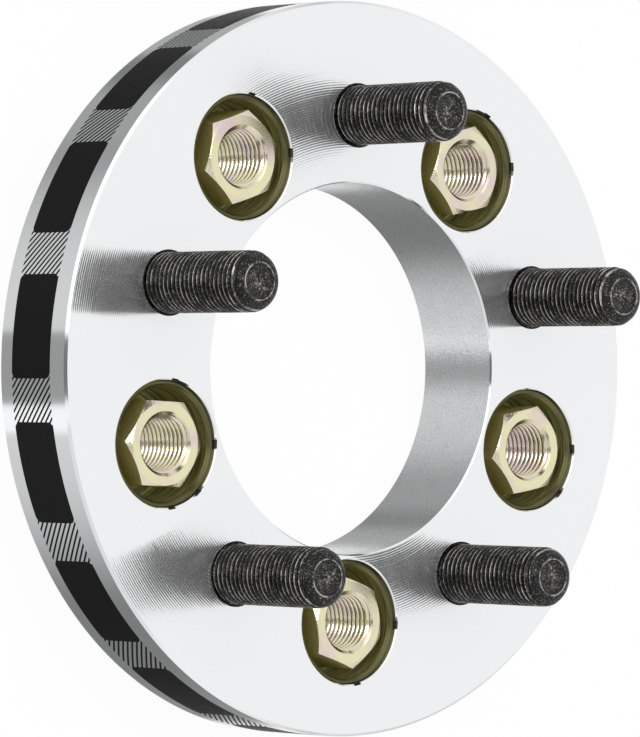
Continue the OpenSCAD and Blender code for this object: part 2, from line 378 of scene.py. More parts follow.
def threaded(corners, pitch, low, high, limit, inward=False):
    """Vertices and faces of a right-hand thread between two heights.

    corners gives the radius over one pitch, and limit(radius, height) trims it to what
    the thread is cut in, such as a nose or a countersink. Rows of faces follow the helix,
    so crests and roots stay sharp.
    """
    turns = math.ceil((high - low) / pitch) + 2
    columns = corners[:-1]
    verts, faces = [], []
    for s in range(turns * THREAD_STEPS + 1):
        turn = math.tau * s / THREAD_STEPS
        base = low - pitch + pitch * s / THREAD_STEPS
        for phase, _ in columns:
            z = min(max(base + pitch * phase, low), high)
            radius = limit(profile_radius((z - base) / pitch % 1.0, corners), z)
            verts.append((radius * math.cos(turn), radius * math.sin(turn), z))
    count = len(columns)
    for s in range(turns * THREAD_STEPS):
        for k in range(count):
            here = s * count + k
            above = here + 1 if k < count - 1 else (s + THREAD_STEPS) * count
            if above + count >= len(verts):
                continue
            quad = [here, here + count, above + count, above]
            faces.append(quad[::-1] if inward else quad)
    return verts, faces


def mesh_of(name, shape, smooth_under=SMOOTH_UNDER):
    """Mesh from vertices and faces, welded, and smooth where faces meet under an angle."""
    verts, faces = shape
    mesh = bpy.data.meshes.new(name)
    mesh.from_pydata(verts, [], faces)
    work = bmesh.new()
    work.from_mesh(mesh)
    bmesh.ops.remove_doubles(work, verts=work.verts, dist=WELD)
    bmesh.ops.dissolve_degenerate(work, edges=work.edges, dist=WELD)
    work.to_mesh(mesh)
    work.free()
    shade(mesh, smooth_under)
    return mesh


def mark_worn(mesh, worn_at):
    """Stores how far each point is rubbed, from 0 to 1, given by its radius and height."""
    marks = mesh.attributes.new(WORN, "FLOAT", "POINT")
    marks.data.foreach_set("value", [worn_at(v.co.xy.length, v.co.z) for v in mesh.vertices])


def shade(mesh, smooth_under=SMOOTH_UNDER):
    """Smooth shading with sharp edges where faces meet at more than an angle in degrees."""
    mesh.polygons.foreach_set("use_smooth", [True] * len(mesh.polygons))
    mesh.set_sharp_from_angle(angle=math.radians(smooth_under))
    mesh.update()


def new_object(name, data, place=(0, 0, 0), turn=0.0):
    """Object in the scene from a mesh, lamp or camera, at a place and turned about Z in degrees."""
    thing = bpy.data.objects.new(name, data)
    thing.location = place
    thing.rotation_euler = (0, 0, math.radians(turn))
    bpy.context.scene.collection.objects.link(thing)
    return thing


def cut(thing, tool):
    """Cuts a closed tool out of an object's mesh, and removes the tool."""
    modifier = thing.modifiers.new("Cut", "BOOLEAN")
    modifier.operation = "DIFFERENCE"
    modifier.solver = "EXACT"
    modifier.object = tool
    bpy.context.view_layer.update()
    made = bpy.data.meshes.new_from_object(thing.evaluated_get(bpy.context.evaluated_depsgraph_get()))
    thing.modifiers.clear()
    thing.data = made
    bpy.data.objects.remove(tool)
    if not made.polygons:
        raise RuntimeError(f"the cut left nothing of {thing.name}")


def hand_over(piece, slot, *nodes):
    """Makes a piece part of the object, in place of CAD nodes."""
    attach(piece, "root")
    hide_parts(*nodes)


def add_node(tree, kind, inputs=None, **settings):
    """Adds a node. settings are its properties, and inputs its values or what feeds it.

    A node feeds it by its first output, and any other output is given as a socket.
    """
    node = tree.nodes.new(kind)
    for key, value in settings.items():
        setattr(node, key, value)
    for key, value in (inputs or {}).items():
        if isinstance(value, bpy.types.Node):
            value = value.outputs[0]
        if isinstance(value, bpy.types.NodeSocket):
            tree.links.new(value, node.inputs[key])
        else:
            node.inputs[key].default_value = value
    return node


def new_material(name, viewport):
    """Empty node material with a viewport colour, and its node tree."""
    material = bpy.data.materials.new(name)
    material.use_nodes = True
    material.diffuse_color = viewport
    material.node_tree.nodes.clear()
    return material, material.node_tree


def off_axis(tree, place):
    """Distance from the axis that a piece was turned about."""
    flat = add_node(tree, "ShaderNodeVectorMath", {0: place, 1: (1.0, 1.0, 0.0)}, operation="MULTIPLY")
    return add_node(tree, "ShaderNodeVectorMath", {0: flat}, operation="LENGTH").outputs["Value"]


def finish_metal(material, heights, depth, inputs, strength=1.0):
    """Ends a material with its shader and output, and gives it bumps of a real depth."""
    tree = material.node_tree
    bump = add_node(tree, "ShaderNodeBump", {"Height": heights, "Strength": strength, "Distance": depth})
    shader = add_node(tree, "ShaderNodeBsdfPrincipled", {**inputs, "Normal": bump})
    add_node(tree, "ShaderNodeOutputMaterial", {"Surface": shader})
    return material


def turned_face(metal):
    """Faced aluminium for the front and back of the ring."""
    # The tool leaves fine rings, so reflections smear outwards from the centre and break into lines.
    material, tree = new_material("faced_aluminium", metal)
    place = add_node(tree, "ShaderNodeTexCoord").outputs["Object"]
    radius = off_axis(tree, place)
    # The feed of the tool, drawn at 0.5 mm a turn. The real 0.35 mm is too fine to show.
    feed = 0.5 * MM
    phase = add_node(tree, "ShaderNodeMath", {0: radius, 1: math.tau / feed}, operation="MULTIPLY")
    groove = add_node(tree, "ShaderNodeMath", {0: phase}, operation="SINE")
    # Chatter: deeper and shallower rings about 1.1 mm apart.
    chatter = 1.1 * MM
    ring = add_node(tree, "ShaderNodeMath", {0: radius, 1: 1 / chatter}, operation="MULTIPLY")
    uneven = add_node(tree, "ShaderNodeTexNoise", {"W": ring, "Scale": 1.0, "Detail": 3.0, "Roughness": 0.6},
                      noise_dimensions="1D")
    height = add_node(tree, "ShaderNodeMath", {0: groove, 1: uneven}, operation="MULTIPLY")
    tangent = add_node(tree, "ShaderNodeTangent", direction_type="RADIAL", axis="Z")
    # The torn metal between the rings scatters part of the light, so reflections are never black.
    return finish_metal(material, height, 0.011 * MM,
                        {"Base Color": metal, "Metallic": 0.88, "Roughness": 0.13, "Anisotropic": 0.95,
                         "Anisotropic Rotation": 0.25, "Tangent": tangent})


def turned_edge(metal):
    """Fine turned aluminium on the rim, the pocket walls and every bevel."""
    # Bright: the studio's edges show sharply along the rim, with faint lines around it.
    material, tree = new_material("turned_aluminium", metal)
    place = add_node(tree, "ShaderNodeTexCoord").outputs["Object"]
    height = add_node(tree, "ShaderNodeSeparateXYZ", {0: place}).outputs["Z"]
    # Turning marks 0.5 mm apart.
    marks = 0.5 * MM
    step = add_node(tree, "ShaderNodeMath", {0: height, 1: 1 / marks}, operation="MULTIPLY")
    lines = add_node(tree, "ShaderNodeTexNoise", {"W": step, "Scale": 1.0, "Detail": 2.0},
                     noise_dimensions="1D")
    return finish_metal(material, lines, 0.004 * MM,
                        {"Base Color": metal, "Metallic": 1.0, "Roughness": 0.1})


def blasted_bore(metal, pit):
    """Bead-blasted aluminium in the bore."""
    # Dull, with a fine uneven speckle of bright flecks and greyer pits.
    material, tree = new_material("blasted_aluminium", metal)
    place = add_node(tree, "ShaderNodeTexCoord").outputs["Object"]
    # Dimples 0.3 mm across, coarser than the beads leave, so that they show.
    dimple = 0.3 * MM
    speckle = add_node(tree, "ShaderNodeTexNoise",
                       {"Vector": place, "Scale": 1 / dimple, "Detail": 3.0, "Roughness": 0.7})
    # Patches about 4 mm across that took more of the blast.
    patch = 4 * MM
    uneven = add_node(tree, "ShaderNodeTexNoise", {"Vector": place, "Scale": 1 / patch, "Detail": 2.0})
    both = add_node(tree, "ShaderNodeMix", {0: 0.12, 2: speckle, 3: uneven}, data_type="FLOAT")
    fleck = add_node(tree, "ShaderNodeMapRange", {"Value": both, "From Min": 0.36, "From Max": 0.52})
    tone = add_node(tree, "ShaderNodeMix", {0: fleck, 6: pit, 7: metal}, data_type="RGBA")
    return finish_metal(material, speckle, 0.025 * MM,
                        {"Base Color": tone.outputs[2], "Metallic": 1.0, "Roughness": 0.2})


def pad_ink(ink):
    """Pad-printed black ink."""
    # Thin and half dull: nearly black all over, with a weak sheen towards the light.
    material, tree = new_material("pad_printed_ink", ink)
    place = add_node(tree, "ShaderNodeTexCoord").outputs["Object"]
    # The pad leaves it uneven over about 1.5 mm.
    patch = 1.5 * MM
    uneven = add_node(tree, "ShaderNodeTexNoise", {"Vector": place, "Scale": 1 / patch, "Detail": 3.0})
    dull = add_node(tree, "ShaderNodeMapRange", {"Value": uneven, "To Min": 0.3, "To Max": 0.5})
    shader = add_node(tree, "ShaderNodeBsdfPrincipled",
                      {"Base Color": ink, "Roughness": dull, "Specular IOR Level": 0.12})
    add_node(tree, "ShaderNodeOutputMaterial", {"Surface": shader})
    return material


def black_oxide(sizes):
    """Black oxide on rolled steel."""
    # Nearly black in the roots and rubbed to bare steel on the crests, in broken bright lines.
    material, tree = new_material("black_oxide_steel", sizes.oxide)
    place = add_node(tree, "ShaderNodeTexCoord").outputs["Object"]
    worn = add_node(tree, "ShaderNodeAttribute", attribute_name=WORN).outputs["Fac"]
    crest = add_node(tree, "ShaderNodeMapRange", {"Value": worn, "From Min": 0.5, "From Max": 0.95})
    # Rubbed stretches about 3 mm long, broken up finely.
    stretch = 3.0 * MM
    rubbing = add_node(tree, "ShaderNodeTexNoise",
                       {"Vector": place, "Scale": 1 / stretch, "Detail": 6.0, "Roughness": 0.75})
    amount = add_node(tree, "ShaderNodeMapRange",
                      {"Value": rubbing, "From Min": 0.45, "From Max": 0.57, "To Min": 0.08, "To Max": 1.0})
    wear = add_node(tree, "ShaderNodeMath", {0: crest, 1: amount}, operation="MULTIPLY")
    # Scuffs 0.3 mm across all over.
    scuff = 0.3 * MM
    fine = add_node(tree, "ShaderNodeTexNoise", {"Vector": place, "Scale": 1 / scuff, "Detail": 3.0})
    specks = add_node(tree, "ShaderNodeMapRange",
                      {"Value": fine, "From Min": 0.58, "From Max": 0.74, "To Max": 0.45})
    # Grit and bright pits gather in the middle of the hollow end.
    radius = off_axis(tree, place)
    height = add_node(tree, "ShaderNodeSeparateXYZ", {0: place}).outputs["Z"]
    hollow = add_node(tree, "ShaderNodeMapRange",
                      {"Value": radius, "From Min": sizes.nose_radius * 0.9,
                       "From Max": sizes.nose_radius * 0.25})
    end = add_node(tree, "ShaderNodeMath", {0: height, 1: STUD_HIGH.z - sizes.nose_length / 2},
                   operation="GREATER_THAN")
    # Clusters about 1.2 mm across.
    cluster = 1.2 * MM
    grit = add_node(tree, "ShaderNodeTexNoise",
                    {"Vector": place, "Scale": 1 / cluster, "Detail": 7.0, "Roughness": 0.8})
    gritty = add_node(tree, "ShaderNodeMapRange",
                      {"Value": grit, "From Min": 0.5, "From Max": 0.75, "To Max": 0.7})
    dirty = add_node(tree, "ShaderNodeMath", {0: gritty, 1: hollow}, operation="MULTIPLY")
    dirt = add_node(tree, "ShaderNodeMath", {0: dirty, 1: end}, operation="MULTIPLY")
    marked = add_node(tree, "ShaderNodeMath", {0: wear, 1: specks}, operation="ADD")
    bare = add_node(tree, "ShaderNodeMath", {0: marked, 1: dirt}, operation="ADD", use_clamp=True)
    metal = add_node(tree, "ShaderNodeMix", {0: bare, 6: sizes.oxide, 7: sizes.worn}, data_type="RGBA")
    return finish_metal(material, fine, 0.02 * MM,
                        {"Base Color": metal.outputs[2], "Metallic": bare, "Roughness": 0.3,
                         "Specular IOR Level": 0.25})


def yellow_zinc(sizes):
    """Yellow passivated zinc on steel."""
    # Pale straw with faint pink clouds. The turned corners are rougher and pinker than the face.
    material, tree = new_material("yellow_passivated_zinc", sizes.zinc)
    place = add_node(tree, "ShaderNodeTexCoord").outputs["Object"]
    # Tints drift over about 8 mm, and by the place in the whole part, so that no two nuts are alike.
    drift = 8 * MM
    across = add_node(tree, "ShaderNodeNewGeometry").outputs["Position"]
    clouds = add_node(tree, "ShaderNodeTexNoise", {"Vector": across, "Scale": 1 / drift, "Detail": 3.0})
    blend = add_node(tree, "ShaderNodeMapRange", {"Value": clouds, "From Min": 0.43, "From Max": 0.62})
    radius = off_axis(tree, place)
    corner = add_node(tree, "ShaderNodeMapRange",
                      {"Value": radius, "From Min": sizes.face_radius - 0.05 * MM,
                       "From Max": sizes.face_radius + 0.05 * MM})
    height = add_node(tree, "ShaderNodeSeparateXYZ", {0: place}).outputs["Z"]
    sunk = add_node(tree, "ShaderNodeMapRange",
                    {"Value": height, "From Min": NUT_HIGH.z - 0.1 * MM, "From Max": NUT_HIGH.z - 0.2 * MM})
    mouth = add_node(tree, "ShaderNodeMapRange",
                     {"Value": radius, "From Min": sizes.crest_radius + 0.05 * MM,
                      "From Max": sizes.crest_radius + 0.15 * MM})
    cone = add_node(tree, "ShaderNodeMath", {0: sunk, 1: mouth}, operation="MULTIPLY")
    turned_part = add_node(tree, "ShaderNodeMath", {0: cone, 1: corner}, operation="MAXIMUM")
    paler = add_node(tree, "ShaderNodeMath", {0: turned_part, 1: 0.5}, operation="MULTIPLY")
    tinted = add_node(tree, "ShaderNodeMath", {0: blend, 1: paler}, operation="MAXIMUM")
    metal = add_node(tree, "ShaderNodeMix", {0: tinted, 6: sizes.zinc, 7: sizes.tint}, data_type="RGBA")
    # Grain 0.35 mm across.
    grain = 0.35 * MM
    speckle = add_node(tree, "ShaderNodeTexNoise", {"Vector": place, "Scale": 1 / grain, "Detail": 2.0})
    depth = add_node(tree, "ShaderNodeMapRange", {"Value": corner, "To Min": 0.12, "To Max": 1.0})
    return finish_metal(material, speckle, 0.04 * MM,
                        {"Base Color": metal.outputs[2], "Metallic": 1.0, "Roughness": 0.22}, depth)


def forged_zinc(sizes):
    """Yellow passivated zinc on the forged flats and foot of a nut."""
    # Duller and a deeper yellow than the turned top, with scale left under the plating. The deeper, brighter
    # yellow is partly painted light and a painted reflection of the olive sleeve, for the gap beside the nut.
    material, tree = new_material("forged_yellow_zinc_painted_light", sizes.flank)
    place = add_node(tree, "ShaderNodeTexCoord").outputs["Object"]
    # Scale 0.6 mm across.
    scale = 0.6 * MM
    rough = add_node(tree, "ShaderNodeTexNoise", {"Vector": place, "Scale": 1 / scale, "Detail": 4.0})
    metal = add_node(tree, "ShaderNodeMix", {0: rough, 6: sizes.flank, 7: sizes.zinc}, data_type="RGBA")
    return finish_metal(material, rough, 0.03 * MM,
                        {"Base Color": metal.outputs[2], "Metallic": 0.75, "Roughness": 0.5})


def olive_chromate(name, base, dark, metallic):
    """Olive chromate on turned steel."""
    # Deep olive with darker streaks that follow the turning.
    material, tree = new_material(name, base)
    place = add_node(tree, "ShaderNodeTexCoord").outputs["Object"]
    axes = add_node(tree, "ShaderNodeSeparateXYZ", {0: place}).outputs
    radius = off_axis(tree, place)
    along = add_node(tree, "ShaderNodeMath", {0: radius, 1: axes["Z"]}, operation="ADD")
    # Streaks 0.4 mm wide and about 12 mm long.
    width, run = 0.4 * MM, 12 * MM
    scaled = {}
    for axis, source, size in (("X", axes["X"], run), ("Y", axes["Y"], run), ("Z", along, width)):
        scaled[axis] = add_node(tree, "ShaderNodeMath", {0: source, 1: 1 / size}, operation="MULTIPLY")
    streak = add_node(tree, "ShaderNodeCombineXYZ", scaled)
    marks = add_node(tree, "ShaderNodeTexNoise",
                     {"Vector": streak, "Scale": 1.0, "Detail": 3.0, "Roughness": 0.65})
    blend = add_node(tree, "ShaderNodeMapRange", {"Value": marks, "From Min": 0.4, "From Max": 0.62})
    metal = add_node(tree, "ShaderNodeMix", {0: blend, 6: dark, 7: base}, data_type="RGBA")
    return finish_metal(material, marks, 0.01 * MM,
                        {"Base Color": metal.outputs[2], "Metallic": metallic, "Roughness": 0.3})


def ring_outline(sizes):
    """Section of the bare ring."""
    outer, top = DISC_HIGH.x, DISC_HIGH.z
    bore, bevel = sizes.bore_radius, sizes.bore_bevel
    return [(outer - sizes.back_break, 0), (outer, sizes.back_break), (outer, top - sizes.rim_bevel),
            (outer - sizes.rim_bevel, top), (bore + bevel, top), (bore, top - bevel), (bore, bevel),
            (bore + bevel, 0)]


def pocket_tool(sizes):
    """What is bored out for one nut: the pocket, its bevelled mouth and the hub stud's hole."""
    top = DISC_HIGH.z
    mouth = sizes.pocket_radius + sizes.pocket_bevel
    hub, hub_bevel = sizes.hub_hole_radius, sizes.hub_hole_bevel
    return turned([(0, -OVERRUN), (hub + hub_bevel + OVERRUN, -OVERRUN), (hub, hub_bevel), (hub, sizes.web),
                   (sizes.pocket_radius, sizes.web), (sizes.pocket_radius, top - sizes.pocket_bevel),
                   (mouth + OVERRUN, top + OVERRUN), (0, top + OVERRUN)], POCKET_STEPS)


def stud_tool(sizes):
    """What is bored out for one stud: its hole, and the counterbore for its head."""
    top = DISC_HIGH.z + OVERRUN
    return turned([(0, -OVERRUN), (sizes.head_hole_radius, -OVERRUN),
                   (sizes.head_hole_radius, sizes.head_hole_depth),
                   (sizes.stud_hole_radius, sizes.head_hole_depth),
                   (sizes.stud_hole_radius, top), (0, top)], POCKET_STEPS)


def notch_tools(sizes):
    """The notches in the mouths of all the pockets."""
    top = DISC_HIGH.z
    shapes = []
    for nut, sleeve in zip(NUT_NODES, SLEEVE_NODES):
        for direction in NOTCH_DIRECTIONS[sleeve]:
            shapes.append(box_shape(
                (sizes.pocket_radius / 2, -sizes.notch_width / 2, top - sizes.notch_depth),
                (sizes.pocket_radius + sizes.notch_reach, sizes.notch_width / 2, top + OVERRUN),
                math.radians(direction), axis_of(nut)))
    return joined(*shapes)


class SPACER_OT_ring(bpy.types.Operator):
    """Build the turned ring with its bores, pockets and notches"""

    bl_idname = "spacer.ring"
    bl_label = "Turned Ring"

    def execute(self, context):
        sizes = context.scene.spacer_ring
        blank = turned(ring_outline(sizes), RING_STEPS, closed=True)
        ring = new_object("turned_ring", mesh_of("turned_ring", blank))
        tools = [moved(pocket_tool(sizes), axis_of(n)) for n in NUT_NODES]
        tools += [moved(stud_tool(sizes), axis_of(n)) for n in STUD_NODES]
        cut(ring, new_object("bores", mesh_of("bores", joined(*tools))))
        cut(ring, new_object("notches", mesh_of("notches", notch_tools(sizes))))
        metal = tuple(sizes.metal)
        mesh = ring.data
        mesh.materials.clear()
        for material in (turned_face(metal), turned_edge(metal), blasted_bore(metal, tuple(sizes.pit))):
            mesh.materials.append(material)
        # Flat faces are faced, the bore is blasted, and the rest is turned.
        bore_reach = sizes.bore_radius + 0.1 * MM
        for face in mesh.polygons:
            level = abs(face.normal.z)
            face.material_index = 1
            if level > FLAT:
                face.material_index = 0
            elif level < UPRIGHT and face.center.xy.length < bore_reach:
                face.material_index = 2
        shade(mesh)
        hand_over(ring, "turned_aluminium", "spacer_disc")
        return {"FINISHED"}


def rim_point(arc, height, lift):
    """Point on the rim at a length around it from the X axis, lifted off the metal."""
    radius = DISC_HIGH.x + lift
    turn = arc / DISC_HIGH.x
    return (radius * math.cos(turn), radius * math.sin(turn), height)


def rim_strip(columns, lift):
    """Film on the rim between the low and high edge of each (arc, low, high) column."""
    verts, faces = [], []
    for arc, low, high in columns:
        verts += [rim_point(arc, low, lift), rim_point(arc, high, lift)]
    for i in range(len(columns) - 1):
        faces.append((2 * i, 2 * i + 2, 2 * i + 3, 2 * i + 1))
    return verts, faces


def field_columns(middle, half, corner, low, high):
    """Columns of one field with round corners, centred on an arc length."""
    bend = [half - corner + corner * math.sin(math.pi / 2 * k / CORNER_STEPS)
            for k in range(CORNER_STEPS + 1)]
    straight = [(half - corner) * (2 * k / FIELD_STEPS - 1) for k in range(1, FIELD_STEPS)]
    columns = []
    for arc in [-a for a in reversed(bend)] + straight + bend:
        over = max(0.0, abs(arc) - (half - corner))
        inset = corner - math.sqrt(max(0.0, corner * corner - over * over))
        columns.append((middle + arc, low + inset, high - inset))
    return columns


def line_columns(foot, start, end, low, high, width, slope):
    """Columns of one hatch line that crosses height low at the arc foot, trimmed to a window."""
    def middle(arc):
        return low + slope * (arc - foot)
    turns = [foot + (edge - low + side * width / 2) / slope for edge in (low, high) for side in (-1, 1)]
    first, last = max(start, min(turns)), min(end, max(turns))
    if last <= first:
        return []
    arcs = sorted({first, last, *(a for a in turns if first < a < last),
                   *(first + (last - first) * k / LINE_STEPS for k in range(1, LINE_STEPS))})
    return [(a, min(max(middle(a) - width / 2, low), high), min(max(middle(a) + width / 2, low), high))
            for a in arcs]


class SPACER_OT_print(bpy.types.Operator):
    """Print the black fields and the hatch between them on the rim"""

    bl_idname = "spacer.print"
    bl_label = "Rim Print"

    def execute(self, context):
        sizes = context.scene.spacer_print
        rim = DISC_HIGH.x
        low, high = PRINT_LOW.z, PRINT_HIGH.z
        half = sizes.field_arc / 2 * rim
        step = math.tau / sizes.field_count
        reach = abs((high - low) / sizes.line_slope)
        shapes = []
        for i in range(sizes.field_count):
            middle = (sizes.start + i * step) * rim
            shapes.append(rim_strip(field_columns(middle, half, sizes.corner, low, high), sizes.film))
            start = middle + half - sizes.corner
            end = middle + step * rim - half + sizes.corner
            foot = middle + half + sizes.line_start - sizes.line_pitch
            while foot < end + reach + sizes.line_pitch:
                columns = line_columns(foot, start, end, low, high, sizes.line_width, sizes.line_slope)
                if len(columns) > 1:
                    shapes.append(rim_strip(columns, sizes.film / 2))
                foot += sizes.line_pitch
        piece = new_object("rim_film", mesh_of("rim_film", joined(*shapes)))
        piece.data.materials.append(pad_ink(tuple(sizes.ink)))
        hand_over(piece, "rim_ink", "rim_print")
        return {"FINISHED"}


def nose_radius(sizes, below_tip):
    """Radius of the rounded nose at a depth below its tip."""
    rise = 1 - below_tip / sizes.nose_length
    if rise <= 0:
        return sizes.crest_radius
    return sizes.nose_radius + (sizes.crest_radius - sizes.nose_radius) * math.sqrt(max(0.0, 1 - rise * rise))


def stud_shape(sizes):
    """One stud: head, serrated shank, threaded length, rounded nose and hollow end."""
    tip, foot = STUD_HIGH.z, STUD_LOW.z
    face = DISC_HIGH.z - sizes.shank_drop
    seat = foot + sizes.head_height
    corners = thread_profile(sizes.crest_radius, sizes.root_radius, STUD_CREST_FLAT, sizes.pitch, parts=3)
    smooth_from = tip - SMOOTH_TIP

    def trimmed(radius, height):
        return min(radius, nose_radius(sizes, tip - height))

    thread = threaded(corners, sizes.pitch, face, smooth_from, trimmed)
    smooth = tip - smooth_from
    nose = [(nose_radius(sizes, smooth * (1 - k / NOSE_STEPS)), smooth_from + smooth * k / NOSE_STEPS)
            for k in range(NOSE_STEPS + 1)]
    dish = []
    for k in range(1, DISH_STEPS):
        turn = math.pi / 2 * k / DISH_STEPS
        dish.append((sizes.nose_radius * math.cos(turn), tip - sizes.dish_depth * math.sin(turn)))
    end = turned(nose + dish + [(0, tip - sizes.dish_depth)], THREAD_STEPS)
    ring = SERRATIONS * 2
    shank = []
    for z in (seat, face):
        for i in range(ring):
            radius = sizes.serration_radius - (sizes.serration_depth if i % 2 else 0)
            turn = math.pi * i / SERRATIONS
            shank.append((radius * math.cos(turn), radius * math.sin(turn), z))
    shank_faces = [(i, (i + 1) % ring, ring + (i + 1) % ring, ring + i) for i in range(ring)]
    shank_faces.append(list(range(ring, 2 * ring)))
    head = turned([(0, foot), (sizes.head_radius - sizes.head_bevel, foot),
                   (sizes.head_radius, foot + sizes.head_bevel), (sizes.head_radius, seat), (0, seat)],
                  THREAD_STEPS)
    return joined(thread, end, (shank, shank_faces), head)


def stud_wear(sizes, radius, height):
    """How far a stud is rubbed: on its crests, on the lands of its nose and round its end."""
    below_tip = STUD_HIGH.z - height
    if height < DISC_HIGH.z:
        return 0.0
    if below_tip < END_DEPTH:
        return END_WEAR
    if radius < max(sizes.nose_radius, nose_radius(sizes, below_tip) - CREST_DEPTH):
        return 0.0
    if below_tip > sizes.nose_length * 1.5:
        return CREST_WEAR
    return min(1.0, max(0.0, (below_tip - SMOOTH_TIP) / LAND_RISE))


class SPACER_OT_studs(bpy.types.Operator):
    """Build the five wheel studs with their rolled threads"""

    bl_idname = "spacer.studs"
    bl_label = "Wheel Studs"

    def execute(self, context):
        sizes = context.scene.spacer_stud
        mesh = mesh_of("wheel_stud", stud_shape(sizes))
        mark_worn(mesh, lambda radius, height: stud_wear(sizes, radius, height))
        mesh.materials.append(black_oxide(sizes))
        for i, node in enumerate(STUD_NODES):
            piece = new_object(f"wheel_{node}", mesh, axis_of(node), 360 / len(STUD_NODES) * i)
            hand_over(piece, "black_oxide_steel", node)
        return {"FINISHED"}


class SPACER_OT_sleeves(bpy.types.Operator):
    """Build the steel sleeves in the pockets"""

    bl_idname = "spacer.sleeves"
    bl_label = "Seat Sleeves"

    def execute(self, context):
        sizes = context.scene.spacer_sleeve
        ring = context.scene.spacer_ring
        outer = ring.pocket_radius - PRESS_GAP
        inner = outer - sizes.wall
        lug_root = outer - sizes.wall / 2
        lug_half = ring.notch_width / 2 - PRESS_GAP
        top, foot = SLEEVE_HIGH.z, SLEEVE_LOW.z
        body = turned([(ring.hub_hole_radius, foot), (outer, foot), (outer, top - sizes.outer_bevel),
                       (outer - sizes.outer_bevel, top), (inner + sizes.lead, top), (inner, top - sizes.lead),
                       (inner, sizes.floor), (sizes.seat_radius, sizes.floor),
                       (ring.hub_hole_radius, sizes.seat_foot)], POCKET_STEPS, closed=True)
        slack = 0.01 * MM
        # One chromate in three brightnesses: paler on the walls as painted light, darker on the rim and
        # darkest on the lugs as painted shade.
        wall = olive_chromate("olive_chromate", sizes.chromate, sizes.shade, 0.5)
        rim = olive_chromate("olive_chromate_rim_painted_shade", sizes.rim, sizes.shade, 0.9)
        lug_painted_shade = olive_chromate("olive_chromate_lug_painted_shade", sizes.lug_painted_shade, sizes.lug_painted_shade, 0.5)
        # A sleeve's box isn't centred on it, because of its lugs, so it stands where its nut does.
        for nut, node in zip(NUT_NODES, SLEEVE_NODES):
            lugs = [box_shape((lug_root, -lug_half, top - LUG_FOOT),
                              (outer + ring.notch_reach, lug_half, top - LUG_TOP), math.radians(direction))
                    for direction in NOTCH_DIRECTIONS[node]]
            mesh = mesh_of(node, joined(body, *lugs), smooth_under=25)
            for material in (wall, rim, lug_painted_shade):
                mesh.materials.append(material)
            for face in mesh.polygons:
                radius, height = face.center.xy.length, face.center.z
                # Faces that look up on the rim take the darker copy, as painted shade.
                face.material_index = 1 if face.normal.z > LOOKS_UP and height > top - sizes.lead else 0
                # The lugs in the notches take the darkest copy, as painted shade.
                if radius > lug_root + slack and top - LUG_FOOT < height < top - LUG_TOP + slack:
                    face.material_index = 2
            piece = new_object(f"steel_{node}", mesh, axis_of(nut))
            hand_over(piece, "olive_chromate_steel", node)
        return {"FINISHED"}


def nut_body(sizes):
    """Outside of the nut: tapered foot, hexagon, bevelled corners and round face, open in the middle."""
    foot, top = NUT_LOW.z, NUT_HIGH.z
    half = sizes.flats / 2
    # The foot and the corners are cut at 30 degrees.
    slope = math.tan(math.radians(30))
    seat = foot + (half - sizes.seat_small_radius) / slope
    rows = []
    for i in range(THREAD_STEPS):
        turn = math.tau * i / THREAD_STEPS
        reach = half / math.cos(turn % (math.pi / 3) - math.pi / 6)
        section = [(sizes.mouth_radius, foot), (sizes.seat_small_radius, foot), (half, seat),
                   (reach, seat + (reach - half) * slope), (reach, top - (reach - sizes.face_radius) * slope),
                   (sizes.face_radius, top), (sizes.mouth_radius, top)]
        rows.append([(r * math.cos(turn), r * math.sin(turn), z) for r, z in section])
    count = len(rows[0])
    verts = [point for row in rows for point in row]
    faces = []
    for i in range(THREAD_STEPS):
        near, far = i * count, (i + 1) % THREAD_STEPS * count
        faces += [(near + k, far + k, far + k + 1, near + k + 1) for k in range(count - 1)]
    return verts, faces


def nut_thread(sizes):
    """Cut thread of the nut with a countersink at both ends."""
    foot, top = NUT_LOW.z, NUT_HIGH.z
    corners = thread_profile(sizes.root_radius, sizes.crest_radius, NUT_ROOT_FLAT, sizes.pitch, parts=4)

    def opened(radius, height):
        return max(radius, sizes.mouth_radius - min(top - height, height - foot))

    return threaded(corners, sizes.pitch, foot, top, opened, inward=True)


class SPACER_OT_nuts(bpy.types.Operator):
    """Build the five lug nuts with their cut threads"""

    bl_idname = "spacer.nuts"
    bl_label = "Lug Nuts"

    def execute(self, context):
        sizes = context.scene.spacer_nut
        mesh = mesh_of("lug_nut", joined(nut_body(sizes), nut_thread(sizes)), smooth_under=15)
        mesh.materials.append(yellow_zinc(sizes))
        mesh.materials.append(forged_zinc(sizes))
        for face in mesh.polygons:
            outside = face.center.xy.length > sizes.mouth_radius
            face.material_index = 1 if outside and face.normal.z < LOOKS_UP else 0
        for node in NUT_NODES:
            piece = new_object(f"zinc_{node}", mesh, axis_of(node), NUT_TURNS[node])
            hand_over(piece, "yellow_zinc_steel", node)
        return {"FINISHED"}


